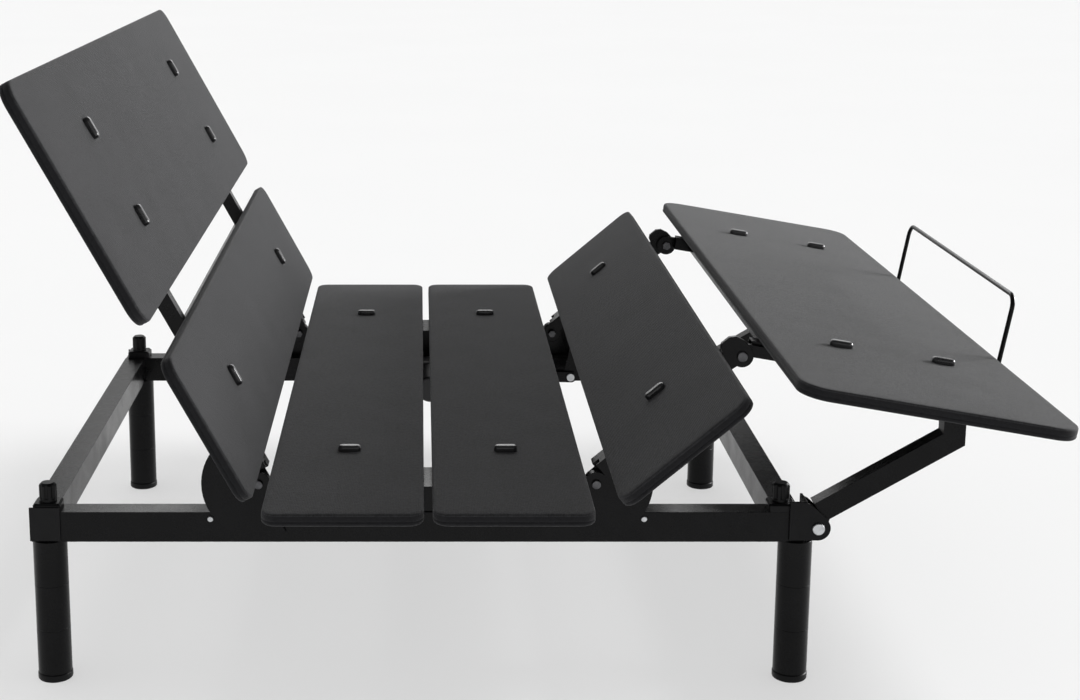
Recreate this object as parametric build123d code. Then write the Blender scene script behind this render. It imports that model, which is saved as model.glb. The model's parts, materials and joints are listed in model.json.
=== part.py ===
from build123d import *
import math
import os

# Adjustable bed base, millimetres. +X runs to the foot end, +Y to the far side and +Z up.
# The origin is on the floor, midway between the four legs. The deck is modelled with its back
# and its legs raised. Each moving section is drawn flat and then turned to that pose.

# Deck
deck_width = 1520.0
deck_top = 384.0
panel_t = 20.0
pivot_drop = 44.5
back_angle = 61.6
thigh_angle = 40.4
foot_slope = 9.8

# Hinge lines
back_x = -262.0
thigh_x = 277.0
pivot_z = deck_top - pivot_drop
knee_reach = 306.5

# Panels, as start and end distances from each section's hinge line
back_panel_span = (48.0, 288.0)
head_panel_span = (346.5, 738.0)
thigh_panel_span = (45.5, 284.5)
foot_panel_span = (25.0, 441.0)
seat_spans = ((-236.0, 1.5), (15.0, 252.0))

# Base frame
rail_y = 475.0
rail_w = 40.0
rail_h = 50.0
rail_z = 241.0
rail_x = (-626.0, 612.0)
knob_x = (-603.0, 577.0)
wall = 1.8
leg_x = 603.0
stud_r = 6.5
leg_r = 27.5
cross_x = (-610.0, 587.0)

# Section tubes
tube = 25.0
tube_y = 468.0
foot_tube_y = 426.8

# Hinge stack, outwards from the section tube's outer face
ear_r = 20.0
bolt_r = 6.0
moon_r = 91.0
run = 0.05
moon_y = (495.5, 499.5)
ear_y = (485.0, 495.0)
lug_y = (480.5, 484.5)
elbow_y = (447.5, 455.5)
foot_lug_y = (439.3, 447.3)

# Foot links
pin_x, pin_z = 634.0, 265.0
pin_r = 8.0
clevis_y = (458.0, 463.0)
link_tube = 35.0
link_y = (464.0, 494.0)
link_slope = 30.4
link_rise = 20.0
link_leg_x = 845.0
link_drop = 3.0
link_pin_r = 6.0

# Actuators
lift_r = 80.0
lift_y = 400.0
head_anchor = (70.0, 262.0)
foot_anchor = (-30.0, 275.0)
head_lift_angle = 225.0
foot_lift_angle = 295.0
rod_r = 11.0
fork_len = 40.0

rail_out = rail_y + rail_w / 2
rail_in = rail_y - rail_w / 2
rail_top = rail_z + rail_h
nodes = {}


def add(name, *pieces):
    """Keeps one named node, made of one solid or of several separate ones."""
    nodes[name] = pieces[0] if len(pieces) == 1 else Compound(children=list(pieces))


def block(x0, x1, y0, y1, z0, z1):
    size = Box(abs(x1 - x0), abs(y1 - y0), abs(z1 - z0))
    return Pos((x0 + x1) / 2, (y0 + y1) / 2, (z0 + z1) / 2) * size


def rod_y(x, z, r, y0, y1):
    return Pos(x, (y0 + y1) / 2, z) * Rot(90, 0, 0) * Cylinder(r, abs(y1 - y0))


def rod_z(x, y, r, z0, z1):
    return Pos(x, y, (z0 + z1) / 2) * Cylinder(r, abs(z1 - z0))


def hull_y(outline, y0, y1):
    """A plate of the closed XZ outline between two Y planes."""
    face = make_face(outline)
    return Pos(0, max(y0, y1), 0) * extrude(Plane.XZ * face, abs(y1 - y0))


def plate(points, y0, y1):
    return hull_y(Polyline(*points, close=True), y0, y1)


def tube_x(x0, x1, y, z0, z1, w, t=wall):
    """A rectangular tube along X with its middle at y."""
    outside = block(x0, x1, y - w / 2, y + w / 2, z0, z1)
    return outside - block(x0 - 1, x1 + 1, y - w / 2 + t, y + w / 2 - t, z0 + t, z1 - t)


def tube_across(x, y0, y1, z0, z1, w, t=wall):
    """A rectangular tube along Y with its middle at x."""
    outside = block(x - w / 2, x + w / 2, y0, y1, z0, z1)
    return outside - block(x - w / 2 + t, x + w / 2 - t, y0 - 1, y1 + 1, z0 + t, z1 - t)


def far(piece):
    """The same piece on the far side of the bed."""
    return mirror(piece, Plane.XZ)


def pair(piece):
    return piece, far(piece)


def turn(piece, x, z, degrees):
    """Turns a piece about the line along Y through x, z; positive lifts the head end."""
    return Pos(x, 0, z) * Rot(0, degrees, 0) * Pos(-x, 0, -z) * piece


def bolt(x, z, r, head_y, nut_y, head_r, head_t, nut_t):
    """A bolt along Y on the near side, with its head outwards and its nut inwards."""
    shank = rod_y(x, z, r, -head_y, -nut_y)
    head = rod_y(x, z, head_r, -head_y - head_t, -head_y)
    head = fillet(head.edges().sort_by(Axis.Y)[0], head_t * 0.45)
    hexagon = extrude(Plane.XZ * RegularPolygon(head_r, 6), nut_t)
    return shank + head + Pos(x, -nut_y + nut_t, z) * hexagon


def panel(x0, x1, r0, r1):
    """A fabric-covered board in the flat deck, with corner radii r0 and r1 at its two ends."""
    board = block(x0, x1, -deck_width / 2, deck_width / 2, deck_top - panel_t, deck_top)
    uprights = board.edges().filter_by(Axis.Z)
    board = fillet(uprights.group_by(Axis.X)[0], r0)
    board = fillet(board.edges().filter_by(Axis.Z).group_by(Axis.X)[-1], r1)
    return fillet(board.faces().sort_by(Axis.Z)[-1].edges(), 5)


def nub(x, y):
    """One raised oval button that stops the mattress from sliding."""
    body = extrude(SlotOverall(37, 16), 10)
    body = fillet(body.faces().sort_by(Axis.Z)[-1].edges(), 5)
    return Pos(x, y, deck_top) * body


nub_y = 464.0


def nub_pairs(*xs):
    return [nub(x, y) for x in xs for y in (-nub_y, nub_y)]


# ---------------------------------------------------------------- poses of the moving sections


def back_pose(piece):
    return turn(piece, back_x, pivot_z, back_angle)


def thigh_pose(piece):
    return turn(piece, thigh_x, pivot_z, -thigh_angle)


lift = math.radians(thigh_angle)
slope = math.radians(foot_slope)
knee_flat_x = thigh_x + knee_reach
knee_x = thigh_x + knee_reach * math.cos(lift)
knee_z = pivot_z + knee_reach * math.sin(lift)


def foot_pose(piece):
    lowered = turn(piece, knee_flat_x, pivot_z, foot_slope)
    return Pos(knee_x - knee_flat_x, 0, knee_z - pivot_z) * lowered


# The link keeps one length, so its upper pin stands this far past the knee, both flat and raised.
gx, gz = knee_x - pin_x, knee_z - pin_z
fx, fz = knee_flat_x - pin_x, pivot_z - pin_z
across = gx * math.sin(slope) + gz * math.cos(slope)
along = gx * math.cos(slope) - gz * math.sin(slope)
link_run = fx**2 + fz**2 - gx**2 - gz**2 + 2 * link_drop * (across - fz)
link_run /= 2 * (along - fx)
top_x = knee_x + link_run * math.cos(slope) - link_drop * math.sin(slope)
top_z = knee_z - link_run * math.sin(slope) - link_drop * math.cos(slope)

# ---------------------------------------------------------------- base frame


def side_rail():
    return tube_x(*rail_x, -rail_y, rail_z, rail_top, rail_w)


def end_cap():
    cap = block(rail_x[0] - 4, rail_x[0], -rail_out, -rail_in, rail_z, rail_top)
    return fillet(cap.faces().sort_by(Axis.X)[0].edges(), 3)


def cross_rail(x):
    return tube_across(x, -rail_in, rail_in, rail_z, rail_top, rail_w)


def corner_cap(x):
    """The raised cap on a rail's corner, under the knob."""
    boss = block(x - 22, x + 22, -rail_out, -rail_in - 1, rail_top, rail_top + 13)
    boss = fillet(boss.edges().filter_by(Axis.Z), 5)
    boss = chamfer(boss.faces().sort_by(Axis.Z)[-1].edges(), 3)
    if x < 0:
        boss += block(rail_x[0] - 4, x + 22, -rail_out - 3, -rail_out, rail_z + 2, rail_top + 8)
    return boss - rod_z(x, -rail_y, 6 + run, rail_top - 1, rail_top + 20)


def knob(x):
    """The tall fluted knob that clamps a cross rail's corner."""
    z0 = rail_top + 13
    head = rod_z(x, -rail_y, 14, z0, z0 + 31)
    head = chamfer(head.edges().sort_by(Axis.Z)[-1], 4)
    grips = [rod_z(x + 15.5 * math.cos(a), -rail_y + 15.5 * math.sin(a), 3.5, z0 + 5, z0 + 32)
             for a in (math.radians(45 * i) for i in range(8))]
    for grip in grips:
        head -= grip
    return head + rod_z(x, -rail_y, 6, rail_top - 26, z0)


section_h = 76.0
foot_h = rail_z - 3 * section_h


def leg_section(x, top):
    """One of three stacked leg sections: a tube with end discs, open for the studs."""
    outside = rod_z(x, -rail_y, leg_r, top - section_h, top)
    outside = chamfer(outside.edges().filter_by(GeomType.CIRCLE), 0.6)
    inside = rod_z(x, -rail_y, leg_r - 2, top - section_h + 5, top - 5)
    return outside - inside - rod_z(x, -rail_y, stud_r + run, top - section_h - 1, top + 1)


def leg_stud(x, z):
    return rod_z(x, -rail_y, stud_r, z - 18, z + 18)


def foot_pad(x):
    pad = rod_z(x, -rail_y, leg_r + 0.8, 0, foot_h)
    pad = fillet(pad.edges().filter_by(GeomType.CIRCLE), 3)
    return pad + rod_z(x, -rail_y, stud_r, foot_h - 2, foot_h + 16)


def four(make, xs, *args):
    """The piece at each of four corners."""
    return [p for x in xs for p in pair(make(x, *args))]


leg_xs = (-leg_x, leg_x)


def bored_rail():
    """The side rail with its four holes."""
    body = side_rail()
    for x in leg_xs:
        body -= rod_z(x, -rail_y, stud_r + run, rail_z - 1, rail_z + 6)
    for x in knob_x:
        body -= rod_z(x, -rail_y, 6 + run, rail_top - 6, rail_top + 1)
    return body


add("side_rail_near", bored_rail())
add("side_rail_far", far(bored_rail()))
add("head_cross_rail", cross_rail(cross_x[0]))
add("foot_cross_rail", cross_rail(cross_x[1]))
add("rail_caps", *pair(end_cap()), *four(corner_cap, knob_x))
add("corner_knobs", *four(knob, knob_x))
levels = [rail_z - i * section_h for i in range(3)]
add("leg_sections", *[piece for z in levels for piece in four(leg_section, leg_xs, z)])
add("leg_studs", *[stud for z in levels for stud in four(leg_stud, leg_xs, z)])
add("foot_pads", *four(foot_pad, leg_xs))

# ---------------------------------------------------------------- hinges on the base


def hinge_ear(x):
    """A rounded ear that stands on the rail and carries a pivot bolt."""
    body = plate(((x - 32, rail_top), (x + 32, rail_top), (x + ear_r, pivot_z), (x - ear_r, pivot_z)),
                 -ear_y[0], -ear_y[1])
    body += rod_y(x, pivot_z, ear_r, -ear_y[1], -ear_y[0])
    return body - rod_y(x, pivot_z, bolt_r + run, -ear_y[1] - 1, -ear_y[0] + 1)


def pivot_bolt(x):
    return bolt(x, pivot_z, bolt_r, moon_y[1] + 0.4, lug_y[0] - 6, 7.5, 4, 5.5)


def rail_screw(x):
    """A round-headed screw in the rail's outer face, just clear of the half-moon plate."""
    head = rod_y(x, 280, 5, -rail_out - 3.5, -rail_out)
    return fillet(head.edges().sort_by(Axis.Y)[0], 2)


hinge_xs = (back_x, thigh_x)
add("hinge_ears", *four(hinge_ear, hinge_xs))
add("pivot_bolts", *four(pivot_bolt, hinge_xs))

# ---------------------------------------------------------------- clevises for the foot links


def clevis():
    """The bracket on a rail's foot end: a base plate and two rounded cheeks."""
    end = rail_x[1]
    lug = ((pin_x, pin_z - 20), (pin_x + 20, pin_z), (648, 281), (624, 303), (612, 309))
    body = block(end, end + 4, -rail_out - 5, -rail_in, rail_z + 4, 309)
    for y0, y1, back in ((-rail_out - 5, -rail_out, 588), (-clevis_y[1], -clevis_y[0], end)):
        body += plate(((back, 309), (back, rail_z + 4), *lug), y0, y1)
        body += rod_y(pin_x, pin_z, 20, y0, y1)
    return body - rod_y(pin_x, pin_z, pin_r + run, -rail_out - 6, -rail_in + 6)


def link_pin():
    return bolt(pin_x, pin_z, pin_r, rail_out + 5, clevis_y[0] - 7, 10, 5, 7)


def link_spacer(y0, y1):
    """A bush that centres the link's lug between the cheeks."""
    return rod_y(pin_x, pin_z, 11, y0, y1) - rod_y(pin_x, pin_z, pin_r + run, y0 - 1, y1 + 1)


add("link_clevises", *pair(clevis()))
add("link_pins", *pair(link_pin()), *pair(link_spacer(-rail_out, -489.3)),
    *pair(link_spacer(-468.7, -clevis_y[1])))

# ---------------------------------------------------------------- seat

bearer_x = (-215.0, 235.0)
bearer_top = 352.0
bearer_y = (451.5, 547.0)
steel = 3.5


def seat_bearer():
    """A pressed bearer: a web on the rail's inner face, a top flange and an outer lip."""
    web = block(*bearer_x, -bearer_y[0] - steel, -bearer_y[0], rail_z + 12, bearer_top)
    top = block(*bearer_x, -bearer_y[1], -bearer_y[0], bearer_top - steel, bearer_top)
    lip = block(*bearer_x, -bearer_y[1], -bearer_y[1] + steel, bearer_top - 40, bearer_top)
    return web + top + lip


spacer_xs = (-185.0, -50.0, 66.0, 201.0)


def seat_spacer(x):
    return block(x - 20, x + 20, -525, -470, bearer_top, deck_top - panel_t)


def bearer_bolt(x):
    """A bolt through the bearer's web into the rail, with a round head inside."""
    head = rod_y(x, 268, 8, -bearer_y[0], -bearer_y[0] + 5)
    return fillet(head.edges().sort_by(Axis.Y)[-1], 2)


add("seat_bearers", *pair(seat_bearer()))
add("seat_spacers", *[p for x in spacer_xs for p in pair(seat_spacer(x))])
screw_xs = (back_x - 78, thigh_x + 78)
add("frame_bolts", *four(rail_screw, screw_xs), *four(bearer_bolt, (-190.0, 10.0, 215.0)))
add("seat_panel_head_side", panel(*seat_spans[0], 24, 24))
add("seat_panel_foot_side", panel(*seat_spans[1], 24, 24))
add("seat_nubs", *nub_pairs(*[sum(span) / 2 for span in seat_spans]))

# ---------------------------------------------------------------- section frames, drawn flat


def run_x(hinge_x, way, distance):
    """The X of a point at a distance from a hinge line, on the section's own side."""
    return hinge_x + way * distance


def side_tube(hinge_x, way, start, end, y=tube_y):
    x0, x1 = sorted((run_x(hinge_x, way, start), run_x(hinge_x, way, end)))
    top = deck_top - panel_t
    return tube_x(x0, x1, -y, top - tube, top, tube)


def cross_tubes(hinge_x, way, distances, y=tube_y):
    top = deck_top - panel_t
    reach = y - tube / 2
    return [tube_across(run_x(hinge_x, way, d), -reach, reach, top - tube, top, tube)
            for d in distances]


def half_moon(hinge_x, way):
    """A half-moon hinge plate outside the rail, with a flange welded to the section tube."""
    below = rod_y(hinge_x, pivot_z, moon_r, -moon_y[1], -moon_y[0])
    below -= block(hinge_x - 100, hinge_x + 100, -moon_y[1] - 1, -moon_y[0] + 1, pivot_z, pivot_z + 100)
    boss = rod_y(hinge_x, pivot_z, 20, -moon_y[1], -moon_y[0])
    top = deck_top - panel_t
    riser = [run_x(hinge_x, way, d) for d in (20, 89)]
    upright = block(*riser, -moon_y[1], -moon_y[0], pivot_z - 5, top)
    flange = block(run_x(hinge_x, way, 27), riser[1], -moon_y[1], -lug_y[0], top - 4, top)
    body = below + boss + upright + flange
    return body - rod_y(hinge_x, pivot_z, bolt_r + run, -moon_y[1] - 1, -moon_y[0] + 1)


def hinge_lug(hinge_x, way):
    """The inner hinge plate, welded to the section tube's outer face."""
    ends = [run_x(hinge_x, way, d) for d in (0, 70)]
    body = block(*ends, -lug_y[1], -lug_y[0], pivot_z, pivot_z + 19)
    body += rod_y(hinge_x, pivot_z, 19, -lug_y[1], -lug_y[0])
    return body - rod_y(hinge_x, pivot_z, bolt_r + run, -lug_y[1] - 1, -lug_y[0] + 1)


def lever(hinge_x, way, rest_angle, turned, slot_in, slot_half, outline, y0, y1):
    """A lift lever with a slot along its radius, which the actuator's pin works in."""
    body = plate([(hinge_x + x, pivot_z + z) for x, z in outline], y0, y1)
    a = math.radians(rest_angle + way * turned)
    ends = [(hinge_x + r * math.cos(a), pivot_z + r * math.sin(a)) for r in (lift_r - slot_in, lift_r)]
    for x, z in ends:
        body += rod_y(x, z, slot_half + 6, y0, y1)
    side = (-math.sin(a), math.cos(a))
    for half, lo, hi in ((slot_half + 6, y0, y1), (slot_half, y0 - 1, y1 + 1)):
        middle = plate([(x + s * half * side[0], z + s * half * side[1])
                        for (x, z), s in ((ends[0], 1), (ends[1], 1), (ends[1], -1), (ends[0], -1))],
                       lo, hi)
        body = body + middle if lo == y0 else body - middle
    for x, z in ends:
        body -= rod_y(x, z, slot_half, y0 - 1, y1 + 1)
    return body


# Back section
back_frame = (14.0, 690.0)
add("back_tube_near", back_pose(side_tube(back_x, -1, *back_frame)))
add("back_tube_far", back_pose(far(side_tube(back_x, -1, *back_frame))))
add("back_cross_tubes", *[back_pose(t) for t in cross_tubes(back_x, -1, (75, 262, 374, 660))])
plates = pair(half_moon(back_x, -1)) + pair(hinge_lug(back_x, -1))
add("back_hinge_plates", *[back_pose(p) for p in plates])
head_outline = ((-90, -0.5), (-60, -0.5), (26, -58), (34, -72), (16, -88))
add("back_lift_lever", back_pose(lever(back_x, 1, head_lift_angle, back_angle, 10.8, 7.2,
                                       head_outline, -lift_y - 4, -lift_y + 4)))
add("back_panel", back_pose(panel(*[run_x(back_x, -1, d) for d in back_panel_span[::-1]], 28, 28)))
add("head_panel", back_pose(panel(*[run_x(back_x, -1, d) for d in head_panel_span[::-1]], 34, 34)))
nub_runs = [sum(back_panel_span) / 2] + [head_panel_span[0] + d for d in (116, 272)]
add("back_nubs", *[back_pose(n) for n in nub_pairs(*[back_x - d for d in nub_runs])])

# Thigh section
thigh_end = knee_reach - 32
add("thigh_tubes", *[thigh_pose(p) for p in pair(side_tube(thigh_x, 1, 14, thigh_end))])
add("thigh_cross_tubes", *[thigh_pose(t) for t in cross_tubes(thigh_x, 1, (75, 215))])
plates = pair(half_moon(thigh_x, 1)) + pair(hinge_lug(thigh_x, 1))
add("thigh_hinge_plates", *[thigh_pose(p) for p in plates])
foot_outline = ((60, -0.5), (90, -0.5), (-14, -88), (-33, -76), (-25, -60))
add("thigh_lift_lever", thigh_pose(lever(thigh_x, -1, foot_lift_angle, thigh_angle, 5.5, 6.2,
                                         foot_outline, lift_y - 4, lift_y + 4)))
add("thigh_panel", thigh_pose(panel(*[thigh_x + d for d in thigh_panel_span], 28, 28)))
add("thigh_nubs", *[thigh_pose(n) for n in nub_pairs(thigh_x + sum(thigh_panel_span) / 2)])

# Knee hinge: the thigh's elbow plate outside, the foot section's lug inside


def elbow_plate():
    """The thigh's elbow, on the inner face of its tube and round-topped between the panels."""
    outline = ((-75, -0.5), (-75, 24.5), (-21, 24.5), (-18, 33), (-12, 38), (4, 38), (13, 32),
               (19, 18), (20, 0), (-8, -8))
    body = plate([(knee_flat_x + x, pivot_z + z) for x, z in outline], -elbow_y[1], -elbow_y[0])
    body += rod_y(knee_flat_x, pivot_z, 18, -elbow_y[1], -elbow_y[0])
    return body - rod_y(knee_flat_x, pivot_z, bolt_r + run, -elbow_y[1] - 1, -elbow_y[0] + 1)


def foot_lug():
    """The foot section's rounded lug, on the outer face of its tube."""
    y0, y1 = -foot_lug_y[1], -foot_lug_y[0]
    body = block(knee_flat_x, knee_flat_x + 70, y0, y1, pivot_z - 0.5, pivot_z + 19)
    body += rod_y(knee_flat_x, pivot_z, 19, y0, y1)
    return body - rod_y(knee_flat_x, pivot_z, bolt_r + run, y0 - 1, y1 + 1)


def knee_bolt():
    return bolt(knee_flat_x, pivot_z, bolt_r, elbow_y[1], foot_lug_y[0] - 1, 8.5, 4, 5.5)


add("knee_elbow_plates", *[thigh_pose(p) for p in pair(elbow_plate())])
add("knee_bolts", *[thigh_pose(p) for p in pair(knee_bolt())])

# Foot section
foot_frame = (14.0, 395.0)


def link_bracket():
    """The slotted bracket on the foot tube, which the link's upper pin works in."""
    x, z = knee_flat_x + link_run, pivot_z - link_drop
    top = deck_top - panel_t
    y_out = rail_out + 5
    body = block(x - 34, x + 24, -y_out, -foot_tube_y - tube / 2, top - 4, top)
    slot = block(x - 16.5, x + 7, -y_out - 1, -clevis_y[0] + 1, z - 9.2, z + 7)
    for y0, y1 in ((-y_out, -rail_out - 0.5), (-clevis_y[0] - 4.5, -clevis_y[0])):
        cheek = block(x - 28, x + 18, y0, y1, z - 19, top - 2)
        body += fillet(cheek.edges().filter_by(Axis.Y).group_by(Axis.Z)[0], 14)
    return body - fillet(slot.edges().filter_by(Axis.Y), 6.5)


def retainer_bar():
    """The bent wire at the foot end that holds the mattress."""
    x = knee_flat_x + foot_panel_span[1] + 6
    z0, z1 = deck_top - panel_t - 5, deck_top + 106
    low, high, bend, r = -345.0, 287.0, 22.0, 3.8
    path = FilletPolyline((x - 60, low, z0), (x, low, z0), (x, low, z1), (x, high, z1),
                          (x, high, z0), (x - 60, high, z0), radius=[6, bend, bend, 6])
    return sweep(Plane(path @ 0, z_dir=path % 0) * Circle(r), path=path)


def retainer_clamp(y):
    x = knee_flat_x + foot_panel_span[1] - 40
    top = deck_top - panel_t
    body = block(x - 18, x + 10, y - 14, y + 14, top - 13, top)
    return body - block(x - 20, x + 20, y - 4.2, y + 4.2, top - 9.2, top + 1)


add("foot_tubes", *[foot_pose(p) for p in pair(side_tube(knee_flat_x, 1, *foot_frame, foot_tube_y))])
add("foot_cross_tubes", *[foot_pose(t) for t in cross_tubes(knee_flat_x, 1, (60, 350), foot_tube_y)])
add("knee_foot_lugs", *[foot_pose(p) for p in pair(foot_lug())])
add("link_brackets", *[foot_pose(p) for p in pair(link_bracket())])
add("foot_panel", foot_pose(panel(*[knee_flat_x + d for d in foot_panel_span], 42, 46)))
nub_runs = [foot_panel_span[0] + d for d in (124, 290)]
add("foot_nubs", *[foot_pose(n) for n in nub_pairs(*[knee_flat_x + d for d in nub_runs])])
add("retainer_bar", foot_pose(retainer_bar()))
add("retainer_clamps", *[foot_pose(retainer_clamp(y)) for y in (-345.0, 287.0)])

# ---------------------------------------------------------------- foot links


def foot_link():
    """The bent tube from the base's clevis up to the foot section."""
    a = math.radians(link_slope)
    ux, uz = math.cos(a), math.sin(a)
    half = link_tube / 2
    x0, z0 = pin_x - link_rise * uz, pin_z + link_rise * ux

    def at(s, h):
        """A point s along the sloping part's middle line and h above it."""
        return x0 + s * ux - h * uz, z0 + s * uz + h * ux

    def bend(x, h):
        """Where the sloping part's edge, h above its middle line, meets the upright's side."""
        return x, z0 + ((x - x0) * uz + h) / ux

    def outline(h, start, top):
        right, left = link_leg_x + h, link_leg_x - h
        return at(start, -h), bend(right, -h), (right, top), (left, top), bend(left, h), at(start, h)

    y0, y1 = -link_y[1], -link_y[0]
    body = plate(outline(half, 14, top_z), y0, y1) + rod_y(link_leg_x, top_z, half - 0.3, y0, y1)
    body -= plate(outline(half - 2, 30, top_z - 22), y0 + 2, y1 - 2)
    lug = plate(((pin_x - 4, pin_z + 14), (pin_x + 15, pin_z - 5), at(30, -14), at(30, 12)), -489, -469)
    body += lug + rod_y(pin_x, pin_z, 16, -489, -469)
    body -= rod_y(pin_x, pin_z, pin_r + run, y0 - 1, y1 + 1)
    return body - rod_y(top_x, top_z, link_pin_r + run, y0 - 1, y1 + 1)


def link_top_pin():
    return bolt(top_x, top_z, link_pin_r, rail_out + 5.4, clevis_y[0] - 3, 9, 4.5, 5.5)


for side, place in (("near", lambda p: p), ("far", far)):
    add(f"foot_link_{side}", place(foot_link()))
    add(f"link_top_pin_{side}", place(link_top_pin()))

# ---------------------------------------------------------------- actuators


def swing(piece, anchor, angle, y):
    """Moves a piece drawn along +X from the origin onto an actuator's axis."""
    return Pos(anchor[0], y, anchor[1]) * Rot(0, -angle, 0) * piece


def rod_along(x0, x1, r):
    return Pos((x0 + x1) / 2, 0, 0) * Rot(0, 90, 0) * Cylinder(r, x1 - x0)


def actuator_tube(mouth):
    """The outer tube with its rear lug, bored for the push rod."""
    body = rod_along(78, mouth, 22) + rod_along(mouth - 14, mouth, 25)
    body -= rod_along(78.5, mouth - 12, rod_r + 4)
    return body - rod_along(mouth - 13, mouth + 1, rod_r + 0.3)


def actuator_drive(inwards):
    """The gearcase with its rear lug, and the motor can across it towards the bed's middle."""
    body = block(16, 78, -32, 32, -30, 30)
    body = fillet(body.edges().filter_by(Axis.X), 12)
    body += block(0, 20, -15, 15, -12, 12) + rod_y(0, 0, 12, -15, 15)
    can = rod_y(47, 0, 27, inwards * 30, inwards * 128)
    rims = can.edges().filter_by(GeomType.CIRCLE).sort_by(Axis.Y)
    body += fillet(rims[-1] if inwards > 0 else rims[0], 5)
    return body - rod_y(0, 0, 6 + run, -20, 20)


def push_rod(length, stroke):
    """The push rod and its fork, with the pin at the given length."""
    body = rod_along(length - fork_len - stroke - 70, length - fork_len + 2, rod_r)
    fork = block(length - fork_len, length + 11, -11, 11, -11, 11)
    fork = fillet(fork.edges().filter_by(Axis.Y).group_by(Axis.X)[-1], 9)
    fork -= block(length - 28, length + 12, -5, 5, -12, 12)
    body += fork
    return body - rod_y(length, 0, 5, -12, 12)


def fork_pin(length):
    return rod_y(length, 0, 5, -11, 11) + rod_y(length, 0, 8, -14, -11.2) + rod_y(length, 0, 8, 11.2, 14)


def anchor_bracket(anchor, way):
    """The bracket on the near bearer's web that holds an actuator's rear pin."""
    x, z = anchor
    y_web, y_end = -bearer_y[0], -376.0
    back = [x + way * 26, x + way * 32]
    body = block(x - way * 16, back[1], y_web, y_web + 5, z - 18, z + 18)
    body += block(*back, y_web, y_end, z - 18, z + 18)
    for y in (-424.0, -382.0):
        body += block(x - way * 12, back[0], y, y + 6, z - 16, z + 16)
    return body - rod_y(x, z, 6 + run, -430, -370)


def anchor_pin(anchor):
    return rod_y(*anchor, 6, -428, -372) + rod_y(*anchor, 9, -431, -428)


def lift_pin_at(hinge_x, angle):
    a = math.radians(angle)
    return hinge_x + lift_r * math.cos(a), pivot_z + lift_r * math.sin(a)


def add_actuator(name, anchor, hinge_x, rest_angle, turned, side):
    """An actuator at its rest length, with a stroke that reaches the flat pose."""
    px, pz = lift_pin_at(hinge_x, rest_angle)
    qx, qz = lift_pin_at(hinge_x, rest_angle + turned)
    length = math.dist(anchor, (px, pz))
    short = math.dist(anchor, (qx, qz))
    angle = math.degrees(math.atan2(pz - anchor[1], px - anchor[0]))
    mouth = short - fork_len - 6
    for label, piece in (("tube", actuator_tube(mouth)), ("drive", actuator_drive(-side)),
                         ("push_rod", push_rod(length, length - short)),
                         ("fork_pin", fork_pin(length))):
        add(f"{name}_{label}", swing(piece, anchor, angle, side * lift_y))


add_actuator("head_actuator", head_anchor, back_x, head_lift_angle, back_angle, -1)
add_actuator("foot_actuator", foot_anchor, thigh_x, foot_lift_angle, -thigh_angle, 1)
add("actuator_brackets", anchor_bracket(head_anchor, 1), far(anchor_bracket(foot_anchor, -1)))
add("actuator_anchor_pins", anchor_pin(head_anchor), far(anchor_pin(foot_anchor)))

# ---------------------------------------------------------------- control box


def control_box():
    """The control box with its mounting foot and a pocket for the mains inlet."""
    body = fillet(block(-208, -122, 352, 444, 278, 322).edges().filter_by(Axis.Z), 8)
    body += block(-190, -140, 440, bearer_y[0], 284, 316)
    return body - block(-209, -200, 384, 412, 288, 312)


def inlet():
    """The mains inlet in the box's head-end face, with its three blades."""
    body = block(-207, -200, 385, 411, 289, 311) - block(-208, -202, 387.5, 408.5, 291.5, 308.5)
    for y, z in ((392, 297), (398, 303), (404, 297)):
        body += block(-206.5, -201, y - 0.8, y + 0.8, z - 2, z + 2)
    return body


add("control_box", control_box())
add("mains_inlet", inlet())

os.makedirs("parts", exist_ok=True)
for name, shape in nodes.items():
    export_step(shape, f"parts/{name}.step")
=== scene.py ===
import json
import math

import bpy
import numpy as np
from mathutils import Matrix, Vector


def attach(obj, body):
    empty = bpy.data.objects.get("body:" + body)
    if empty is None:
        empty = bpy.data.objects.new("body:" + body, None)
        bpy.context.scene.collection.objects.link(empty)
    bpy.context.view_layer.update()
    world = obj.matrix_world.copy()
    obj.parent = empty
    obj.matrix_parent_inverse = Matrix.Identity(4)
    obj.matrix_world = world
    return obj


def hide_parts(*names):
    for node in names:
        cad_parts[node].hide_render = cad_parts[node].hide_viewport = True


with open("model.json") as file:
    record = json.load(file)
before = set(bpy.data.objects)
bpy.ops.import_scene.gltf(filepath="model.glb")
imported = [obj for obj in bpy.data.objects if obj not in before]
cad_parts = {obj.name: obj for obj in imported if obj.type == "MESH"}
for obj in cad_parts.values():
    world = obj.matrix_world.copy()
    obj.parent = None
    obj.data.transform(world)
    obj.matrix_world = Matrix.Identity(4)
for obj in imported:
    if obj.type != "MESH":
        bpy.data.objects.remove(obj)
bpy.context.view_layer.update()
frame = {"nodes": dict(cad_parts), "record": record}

record, nodes = frame["record"], frame["nodes"]
joints = {j["name"]: j for j in record["behaviour"]["joints"]}
body_of = {n: b for b, names in record["behaviour"]["bodies"].items() for n in names}
slot_of = {s["node"]: s["material_slot"] for s in record["subparts"]}

# How far each section is turned about Y in the raised pose.
tilt = {"base": 0.0, "back_section": -joints["back_hinge"]["range_deg"][0]}
tilt["thigh_section"] = joints["thigh_hinge"]["range_deg"][0]
tilt["foot_section"] = joints["knee_hinge"]["range_deg"][1] + tilt["thigh_section"]

# ------------------------------------------------------------------ shader helpers


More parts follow.
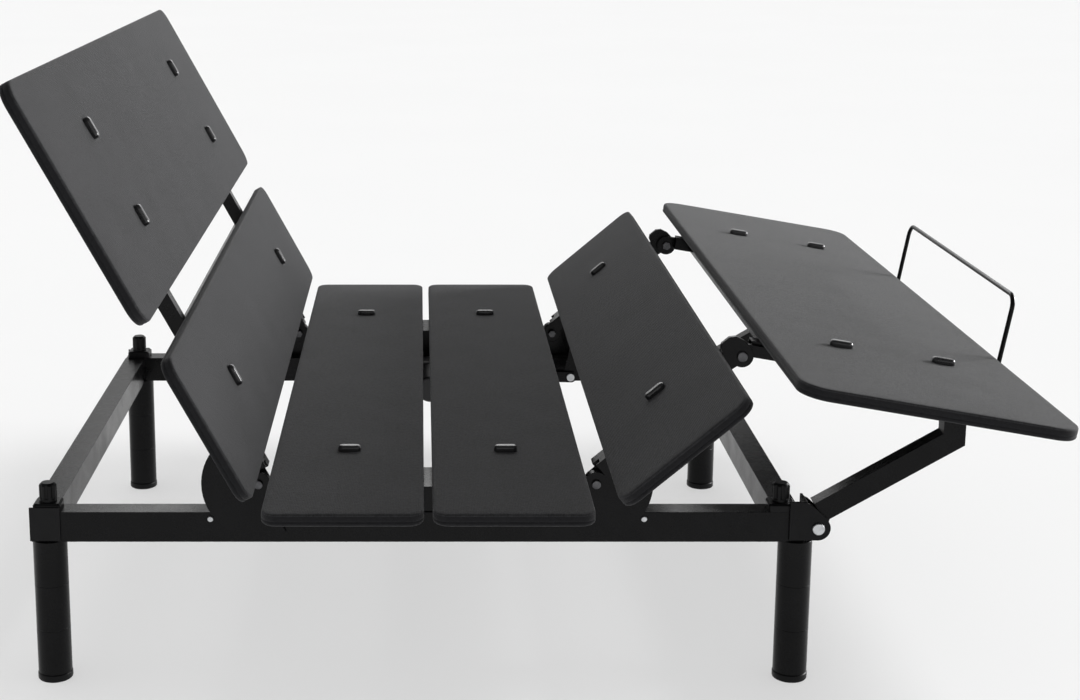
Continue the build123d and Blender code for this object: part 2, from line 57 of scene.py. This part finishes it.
class Shader:
    """A node material around one Principled shader."""

    def __init__(self, name, **sockets):
        self.mat = bpy.data.materials.new(name)
        self.mat.use_nodes = True
        self.tree = self.mat.node_tree
        self.bsdf = self.tree.nodes["Principled BSDF"]
        for key, value in sockets.items():
            self.bsdf.inputs[key.replace("_", " ")].default_value = value
        self.coord = self.tree.nodes.new("ShaderNodeTexCoord")

    def node(self, kind, _values=None, **attributes):
        made = self.tree.nodes.new("ShaderNode" + kind)
        for key, value in attributes.items():
            setattr(made, key, value)
        for key, value in (_values or {}).items():
            if isinstance(value, bpy.types.NodeSocket):
                self.tree.links.new(value, made.inputs[key])
            else:
                made.inputs[key].default_value = value
        return made

    def noise(self, scale, detail=3.0, coord=None, rough=0.55):
        vector = coord or self.coord.outputs["Object"]
        values = {"Vector": vector, "Scale": scale, "Detail": detail, "Roughness": rough}
        return self.node("TexNoise", values).outputs["Fac"]

    def ramp(self, value, low, high, a, b):
        values = {"Value": value, "From Min": low, "From Max": high, "To Min": a, "To Max": b}
        return self.node("MapRange", values).outputs["Result"]

    def math(self, operation, a, b):
        return self.node("Math", {0: a, 1: b}, operation=operation).outputs[0]

    def colour(self, factor, a, b):
        mix = self.node("Mix", {"Factor": factor}, data_type="RGBA")
        mix.inputs[6].default_value = (*a, 1)
        mix.inputs[7].default_value = (*b, 1)
        return mix.outputs[2]

    def set(self, key, socket):
        self.tree.links.new(socket, self.bsdf.inputs[key])

    def bump(self, height, strength, distance, edge=0.0):
        values = {"Height": height, "Strength": strength, "Distance": distance}
        made = self.node("Bump", values)
        if edge:
            rounded = self.node("Bevel", {"Radius": edge}, samples=6)
            self.tree.links.new(rounded.outputs["Normal"], made.inputs["Normal"])
        self.set("Normal", made.outputs["Normal"])


def woven(name, dark, light, pitch, strength, **sockets):
    """A plain weave with melange yarns. The UV map is in metres along the cloth."""
    s = Shader(name, **sockets)
    uv = s.coord.outputs["UV"]
    cells = 0.31416 / pitch
    warp = s.node("TexWave", {"Vector": uv, "Scale": cells, "Distortion": 0.6, "Detail": 1.0},
                  wave_type="BANDS", bands_direction="X").outputs["Fac"]
    weft = s.node("TexWave", {"Vector": uv, "Scale": cells, "Distortion": 0.6, "Detail": 1.0},
                  wave_type="BANDS", bands_direction="Y").outputs["Fac"]
    weave = s.math("MULTIPLY", warp, weft)
    grain = s.noise(430.0, 4.0, uv, 0.7)
    melange = s.noise(150.0, 3.0, uv, 0.75)
    cloud = s.noise(9.0, 3.0, uv)
    tone = s.math("ADD", s.ramp(grain, 0.35, 0.65, 0.0, 0.4), s.ramp(cloud, 0.35, 0.65, 0.0, 0.15))
    tone = s.math("ADD", tone, s.ramp(melange, 0.36, 0.64, 0.0, 0.45))
    tone = s.math("MULTIPLY", tone, s.ramp(weave, 0.0, 1.0, 0.75, 1.25))
    s.set("Base Color", s.colour(tone, dark, light))
    s.set("Roughness", s.ramp(grain, 0.3, 0.7, 0.78, 0.95))
    height = s.math("ADD", weave, s.math("MULTIPLY", grain, 0.8))
    s.bump(s.math("ADD", height, s.math("MULTIPLY", melange, 1.6)), strength, 0.0006)
    return s.mat


def coated(name, dark, light, rough, edge, speck=900.0, **sockets):
    """Powder-coated or moulded finish with a fine texture, worn a little along its edges."""
    s = Shader(name, **sockets)
    fine, cloud = s.noise(speck, 2.0), s.noise(14.0, 4.0)
    wear = s.node("NewGeometry").outputs["Pointiness"]
    worn = s.math("MULTIPLY", s.ramp(wear, 0.53, 0.62, 0.0, 0.8), s.noise(60.0, 3.0))
    s.set("Base Color", s.colour(s.math("ADD", s.ramp(cloud, 0.3, 0.7, 0.0, 0.6), worn), dark, light))
    s.set("Roughness", s.math("ADD", s.ramp(cloud, 0.3, 0.7, rough - 0.05, rough + 0.06),
                              s.ramp(fine, 0.3, 0.7, -0.04, 0.04)))
    s.bump(fine, 0.25, 0.0002, edge)
    return s.mat


def plated(name, dark, light, rough):
    """Bright zinc plate with faint turning marks."""
    s = Shader(name, Metallic=1.0)
    cloud, fine = s.noise(70.0, 4.0), s.noise(1500.0, 2.0)
    s.set("Base Color", s.colour(s.ramp(cloud, 0.3, 0.7, 0.0, 1.0), dark, light))
    s.set("Roughness", s.ramp(cloud, 0.3, 0.7, rough - 0.07, rough + 0.1))
    s.bump(fine, 0.2, 0.0002, 0.0006)
    return s.mat


# Base colours are set for this scene's lights, and are not measured colours.
fabric = woven("charcoal_weave", (0.012, 0.012, 0.013), (0.049, 0.049, 0.052), 0.0024, 0.8,
               Sheen_Weight=0.12, Sheen_Roughness=0.45, Specular_IOR_Level=0.15)
# The border cloth is darker than the top cloth: its dark colour is painted shade for the panels' sides.
border = woven("charcoal_border_painted_shade", (0.008, 0.008, 0.009), (0.020, 0.020, 0.022), 0.0014, 0.5,
               Sheen_Weight=0.12, Sheen_Roughness=0.4, Specular_IOR_Level=0.15)
backing = woven("backing_cloth", (0.010, 0.010, 0.011), (0.024, 0.024, 0.026), 0.0028, 0.9,
                Specular_IOR_Level=0.2)
steel = coated("black_powder_coat", (0.0018, 0.0018, 0.0020), (0.0055, 0.0055, 0.0060), 0.26, 0.0014,
               Specular_IOR_Level=0.13)
plastic = coated("moulded_black", (0.0025, 0.0025, 0.0028), (0.007, 0.007, 0.0076), 0.38, 0.0010, 700.0,
                 Specular_IOR_Level=0.15)
rubber_nub = coated("nub_black", (0.008, 0.008, 0.009), (0.018, 0.018, 0.019), 0.30, 0.0008, 700.0,
                    Specular_IOR_Level=0.5, Coat_Weight=0.15, Coat_Roughness=0.25)
motor_grey = coated("motor_paint", (0.010, 0.010, 0.011), (0.022, 0.022, 0.024), 0.42, 0.0010, 500.0,
                    Specular_IOR_Level=0.4)
zinc = plated("zinc_plate", (0.42, 0.43, 0.44), (0.66, 0.67, 0.68), 0.32)
# A darker copy of the zinc plate, used for the pivot and knee bolts.
darker_zinc = plated("darker_zinc", (0.055, 0.055, 0.058), (0.13, 0.13, 0.135), 0.38)
finish = {"black_steel": steel, "black_plastic": plastic, "zinc": zinc, "fabric": fabric}


for name, obj in nodes.items():
    look = finish[slot_of[name]]
    if name.endswith("nubs"):
        look = rubber_nub
    elif name.endswith("actuator_drive"):
        look = motor_grey
    elif name in ("pivot_bolts", "knee_bolts"):
        look = darker_zinc
    obj.data.materials.clear()
    obj.data.materials.append(look)

# ------------------------------------------------------------------ upholstered panels

STEP = 0.012            # spacing of mesh points along a straight edge
ARC = 10                # mesh points round one corner
EDGE = 0.0035           # radius of the padded top edge
TOP_DROP = 0.0008       # the cloth's edge line, below the board's top
SEAM_DROP = 0.0125      # the border seam, below the board's top
CROWN = 0.0016          # rise of the padding at the panel's middle line
CROWN_REACH = 0.022     # how far in from the edge the padding fills out
RIPPLE = 0.00035        # unevenness of the cloth, with a typical cell of RIPPLE_CELL
RIPPLE_CELL = 0.16
DIMPLE = 0.0009         # how far a nub pulls the cloth down, over DIMPLE_REACH
DIMPLE_REACH = 0.016
DIMPLE_STRETCH = 1.7    # a dimple is longer along the bed, as the nub is
FOLD = 0.0005           # depth of the small pleats at the corners
FOLD_COUNT = 20
BACKING_LEVEL = 0.0016  # the backing cloth, above the board's underside
HEM_END = 0.0215        # where the turned hem stops on the underside
MIDDLE_GAP = 0.004      # half width of the strip that closes each face
TOP, BORDER, BACKING = 0, 1, 2
shells = []


def ring_points(a, b, r, inset):
    """A rounded rectangle's points, inset from half sizes a and b, with outward directions."""
    points, ways = [], []
    small = max(r - inset, 0.0015)
    cx, cy = a - inset - small, b - inset - small
    long_x = max(2, round(2 * (a - r) / STEP))
    long_y = max(2, round(2 * (b - r) / STEP))
    corners = ((cx, cy, 0.0), (-cx, cy, 90.0), (-cx, -cy, 180.0), (cx, -cy, 270.0))
    for i, (px, py, start) in enumerate(corners):
        for k in range(ARC):
            t = math.radians(start + 90.0 * k / ARC)
            points.append((px + small * math.cos(t), py + small * math.sin(t)))
            ways.append((math.cos(t), math.sin(t)))
        nx, ny, _ = corners[(i + 1) % 4]
        t = math.radians(start + 90.0)
        side = long_x if i % 2 == 0 else long_y
        p0 = (px + small * math.cos(t), py + small * math.sin(t))
        p1 = (nx + small * math.cos(t), ny + small * math.sin(t))
        for k in range(side):
            f = k / side
            points.append((p0[0] + f * (p1[0] - p0[0]), p0[1] + f * (p1[1] - p0[1])))
            ways.append((math.cos(t), math.sin(t)))
    return np.array(points), np.array(ways)


def local_box(name, angle):
    """A node's extent in its section's own frame, in which the section lies flat."""
    turn = Matrix.Rotation(math.radians(angle), 3, "Y")
    co = np.array([turn.transposed() @ v.co for v in nodes[name].data.vertices])
    return co.min(axis=0), co.max(axis=0)


def smooth_object(name, verts, faces):
    mesh = bpy.data.meshes.new(name)
    mesh.from_pydata([tuple(v) for v in verts], [], faces)
    mesh.validate()
    for p in mesh.polygons:
        p.use_smooth = True
    obj = bpy.data.objects.new(name, mesh)
    bpy.context.scene.collection.objects.link(obj)
    return obj


def to_section(obj, section):
    """Turns a piece drawn in the flat section's frame to the raised pose, and lets it ride."""
    obj.data.transform(Matrix.Rotation(math.radians(tilt[section]), 4, "Y"))
    obj.data.update()
    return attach(obj, section)


def waves(x, y, seed, cell):
    """A smooth, low random field over the cloth, between about -1 and 1."""
    total = np.zeros_like(x)
    local = np.random.default_rng(seed)
    for _ in range(7):
        angle, phase = local.uniform(0, math.pi), local.uniform(0, 2 * math.pi)
        k = 2 * math.pi / (cell * local.uniform(0.6, 1.9))
        total += np.sin(k * (x * math.cos(angle) + y * math.sin(angle)) + phase)
    return total / 4.0


def panel_shell(name, radius, nub_node, seed):
    """A padded board in woven cloth: a crowned top, soft edges, a border seam and a turned hem."""
    section = body_of[name]
    lo, hi = local_box(name, tilt[section])
    mid = (lo + hi) / 2
    a, b = (hi[0] - lo[0]) / 2, (hi[1] - lo[1]) / 2
    thick = hi[2] - lo[2]
    spots = nub_spots(nub_node, tilt[section], lo, hi)
    # Each row is a ring: its inset, its height, its distance along the cloth and its material.
    rows = []
    for inset in (*np.linspace(a - MIDDLE_GAP, 0.030, 14), 0.022, 0.016, 0.012, 0.009):
        rows.append((inset, thick - TOP_DROP, -inset, TOP))
    for t in np.radians([15, 32, 50, 68, 85]):
        inset = EDGE * (1 - math.sin(t))
        rows.append((inset, thick - TOP_DROP - EDGE * (1 - math.cos(t)), EDGE * t / 1.5, TOP))
    seam = thick - SEAM_DROP
    profile = ((-0.0002, thick - 0.0095), (0.0000, seam + 0.0012), (0.0007, seam + 0.0003),
               (0.0007, seam - 0.0003), (-0.0001, seam - 0.0012), (-0.0003, 0.0045),
               (0.0004, 0.0022), (0.0022, 0.0006), (0.0055, 0.0000), (0.0180, 0.0000),
               (HEM_END, 0.0003), (0.0225, BACKING_LEVEL), (0.0300, BACKING_LEVEL))
    for inset, z in profile:
        kind = BORDER if inset < HEM_END else BACKING
        rows.append((inset, z, EDGE + thick - z + max(inset, 0), kind))
    for inset in np.linspace(0.045, a - MIDDLE_GAP, 6):
        rows.append((inset, BACKING_LEVEL, EDGE + thick + inset, BACKING))

    verts, uvs, kinds = [], [], []
    for inset, z, out, kind in rows:
        ring, ways = ring_points(a, b, radius, inset)
        count = len(ring)
        x, y = ring[:, 0], ring[:, 1]
        depth = np.minimum(a - np.abs(x), b - np.abs(y)).clip(0, None)
        level = np.full(count, z)
        if kind == TOP:
            soft = 1 - np.exp(-depth / CROWN_REACH)
            level += soft * (CROWN * (1 - (x / a) ** 2) + RIPPLE * waves(x, y, seed, RIPPLE_CELL))
            for sx, sy in spots:
                near = np.hypot((x - sx) / DIMPLE_STRETCH, y - sy)
                level -= DIMPLE * np.exp(-((near / DIMPLE_REACH) ** 2))
        else:
            corner = (np.abs(ways[:, 0]) > 0.02) & (np.abs(ways[:, 1]) > 0.02)
            phase = np.arctan2(ways[:, 1], ways[:, 0])
            fold = FOLD * np.sin(FOLD_COUNT * phase) * corner * (z < thick - 0.009)
            x, y = x + ways[:, 0] * fold, y + ways[:, 1] * fold
        verts.append(np.stack([x + mid[0], y + mid[1], level + lo[2]], axis=1))
        uvs.append(ring + ways * (inset + max(out, 0))[..., None] if kind else ring)
        kinds.append(kind)
    faces, slots = [], []
    for i in range(len(rows) - 1):
        for k in range(count):
            n = (k + 1) % count
            faces.append((i * count + k, (i + 1) * count + k, (i + 1) * count + n, i * count + n))
            slots.append(max(kinds[i + 1], BORDER if rows[i + 1][1] < thick - 0.006 else TOP))
    last = (len(rows) - 1) * count
    long_x = max(2, round(2 * (a - radius) / STEP))
    long_y = max(2, round(2 * (b - radius) / STEP))
    for base, kind in ((0, TOP), (last, BACKING)):
        left, right = 2 * ARC + long_x, 4 * ARC + 2 * long_x + long_y
        for k in range(long_y):
            quad = [base + i % count for i in (left + k, left + k + 1,
                                               right + long_y - k - 1, right + long_y - k)]
            faces.append(tuple(reversed(quad) if kind else quad))
            slots.append(kind)
        for start, end in ((0, left), (left + long_y, right)):
            cap = [base + i % count for i in range(start, end + 1)]
            faces.append(tuple(reversed(cap) if kind else cap))
            slots.append(kind)
    verts, uvs = np.concatenate(verts), np.concatenate(uvs)
    obj = smooth_object(name + "_upholstery", verts, faces)
    for material in (fabric, border, backing):
        obj.data.materials.append(material)
    layer = obj.data.uv_layers.new(name="cloth")
    for poly, kind in zip(obj.data.polygons, slots):
        poly.material_index = kind
        for loop in poly.loop_indices:
            layer.data[loop].uv = uvs[obj.data.loops[loop].vertex_index]
    to_section(obj, section)
    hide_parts(name)
    shells.append(obj)


def nub_spots(node, angle, lo, hi):
    """Middles of the nubs that stand on a panel, measured from the panel's own middle."""
    turn = Matrix.Rotation(math.radians(angle), 3, "Y").transposed()
    co = np.array([turn @ v.co for v in nodes[node].data.vertices])
    inside = (co[:, 0] > lo[0]) & (co[:, 0] < hi[0])
    mid = (lo + hi) / 2
    spots = []
    for side in (co[:, 1] < 0, co[:, 1] > 0):
        xs = np.sort(co[inside & side][:, 0])
        if not len(xs):
            continue
        y = co[inside & side][:, 1].mean()
        for group in np.split(xs, np.where(np.diff(xs) > 0.05)[0] + 1):
            spots.append(((group.min() + group.max()) / 2 - mid[0], y - mid[1]))
    return spots


# Each panel's node, its corner radius and the node of its nubs.
PANELS = (("head_panel", 0.034, "back_nubs"), ("back_panel", 0.028, "back_nubs"),
          ("seat_panel_head_side", 0.024, "seat_nubs"), ("seat_panel_foot_side", 0.024, "seat_nubs"),
          ("thigh_panel", 0.028, "thigh_nubs"), ("foot_panel", 0.044, "foot_nubs"))
for seed, (name, radius, nub_node) in enumerate(PANELS):
    panel_shell(name, radius, nub_node, seed)

# ------------------------------------------------------------------ floor, light and camera

mesh = bpy.data.meshes.new("floor")
FLOOR_HALF = 60
corners = [(-1, -1), (1, -1), (1, 1), (-1, 1)]
mesh.from_pydata([(x * FLOOR_HALF, y * FLOOR_HALF, 0) for x, y in corners], [], [(0, 1, 2, 3)])
floor = bpy.data.objects.new("floor", mesh)
bpy.context.scene.collection.objects.link(floor)
floor.location.z = -0.0006
s = Shader("studio_floor", Roughness=0.75, Specular_IOR_Level=0.1)
s.set("Base Color", s.colour(s.noise(0.7, 2.0), (0.80, 0.80, 0.80), (0.82, 0.82, 0.82)))
floor.data.materials.append(s.mat)

world = bpy.data.worlds.new("studio")
bpy.context.scene.world = world
world.use_nodes = True
tree = world.node_tree
background = tree.nodes["Background"]
coord = tree.nodes.new("ShaderNodeTexCoord")
parts = tree.nodes.new("ShaderNodeSeparateXYZ")
tree.links.new(coord.outputs["Generated"], parts.inputs[0])
fall = tree.nodes.new("ShaderNodeMapRange")
fall.inputs["From Min"].default_value, fall.inputs["From Max"].default_value = 0.20, 0.50
fall.inputs["To Min"].default_value, fall.inputs["To Max"].default_value = 0.90, 0.20
tree.links.new(parts.outputs["Z"], fall.inputs["Value"])
tree.links.new(fall.outputs["Result"], background.inputs["Color"])
background.inputs["Strength"].default_value = 1.0


def group(name, *members):
    made = bpy.data.collections.new(name)
    for m in members:
        made.objects.link(m)
    return made


lit = group("object_receivers", *nodes.values(), *shells)
ground = group("floor_receiver", floor)


def add_light(name, kind, place, target, energy, receivers, blockers=None, **settings):
    """A light that reaches only its receivers, shaded only by its blockers, or by all with none."""
    data = bpy.data.lights.new(name, kind)
    data.energy = energy
    for key, value in settings.items():
        setattr(data, key, value)
    obj = bpy.data.objects.new(name, data)
    bpy.context.scene.collection.objects.link(obj)
    obj.location = place
    obj.rotation_euler = (Vector(target) - Vector(place)).to_track_quat("-Z", "Y").to_euler()
    obj.light_linking.receiver_collection = receivers
    obj.light_linking.blocker_collection = blockers
    return obj


# The key and back lights reach only the object, and the two suns only the floor.
add_light("key", "AREA", (4.0, 1.2, 1.25), (0.0, 0.0, 0.55), 255.0, lit,
          shape="RECTANGLE", size=1.8, size_y=1.0)
add_light("back", "AREA", (0.3, 2.4, 2.1), (0.1, 0.2, 0.4), 46.0, lit,
          shape="RECTANGLE", size=3.0, size_y=1.4)
add_light("floor_fill", "SUN", (0.0, 0.0, 4.0), (0.0, 0.1, 0.0), 2.08, ground, ground, angle=0.5)
add_light("floor_sun", "SUN", (1.7, 0.0, 4.0), (0.0, 0.0, 0.0), 0.8, ground, angle=math.radians(26))

cam_data = bpy.data.cameras.new("camera")
cam_data.sensor_width = 36.0
cam_data.lens = 59.17
cam_data.shift_x, cam_data.shift_y = 0.1111, -0.0926
cam_data.clip_end = 200.0
camera = bpy.data.objects.new("camera", cam_data)
bpy.context.scene.collection.objects.link(camera)
camera.location = (-0.00407, -3.1965, 1.2721)
camera.rotation_euler = (math.radians(90.0 - 11.556), 0.0, 0.0)
bpy.context.scene.camera = camera
bpy.context.scene.view_settings.view_transform = "Standard"
